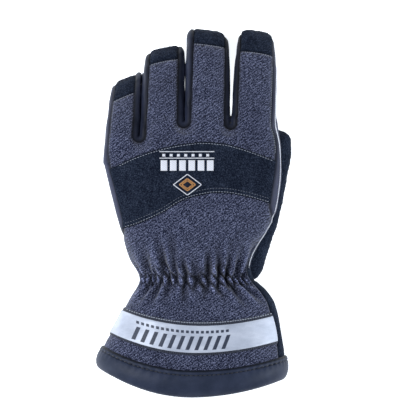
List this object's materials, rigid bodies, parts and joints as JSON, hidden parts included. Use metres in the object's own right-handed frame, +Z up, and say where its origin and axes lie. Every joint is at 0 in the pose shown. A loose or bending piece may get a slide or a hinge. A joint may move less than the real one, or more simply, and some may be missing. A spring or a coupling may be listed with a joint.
{
  "type": "firefighter glove",
  "caption": "Left-hand gauntlet work glove with a cloth back, leather palm, fingertip caps and knuckle band, an elastic-gathered wrist and a flared cuff with a reflective strip.",
  "frame": {"origin": "middle of the glove's box, on the surface that it lies on palm down", "axes": "+Y from the cuff to the fingertips, +X towards the thumb, +Z up out of the back of the hand"},
  "size_m": [0.1616, 0.3054, 0.0838],
  "materials": {
    "cloth": "matt grey-blue heather twill",
    "suede": "matt black suede with a short nap",
    "smooth_leather": "smooth dark leather, dull sheen",
    "binding_leather": "smooth dark slate leather, dull sheen",
    "backing_tape": "dark woven strip with pale edge stitches",
    "reflective_tape": "silver retroreflective tape"
  },
  "bodies": {
    "root": {"back_panel": "cloth", "knuckle_panel": "cloth", "tip_cap_little": "suede", "tip_cap_ring": "suede", "tip_cap_middle": "suede", "tip_cap_index": "suede", "knuckle_band": "suede", "fourchette_ring_little": "smooth_leather", "fourchette_middle_ring": "smooth_leather", "fourchette_index_middle": "smooth_leather", "side_strip_little": "smooth_leather", "side_strip_index": "smooth_leather", "palm_panel": "suede", "cuff_palm": "suede", "finger_front_little": "suede", "finger_front_ring": "suede", "finger_front_middle": "suede", "finger_front_index": "suede", "thumb_stall": "suede", "trim_backing": "backing_tape", "reflective_strip": "reflective_tape", "hem_binding": "binding_leather"}
  },
  "joints": []
}
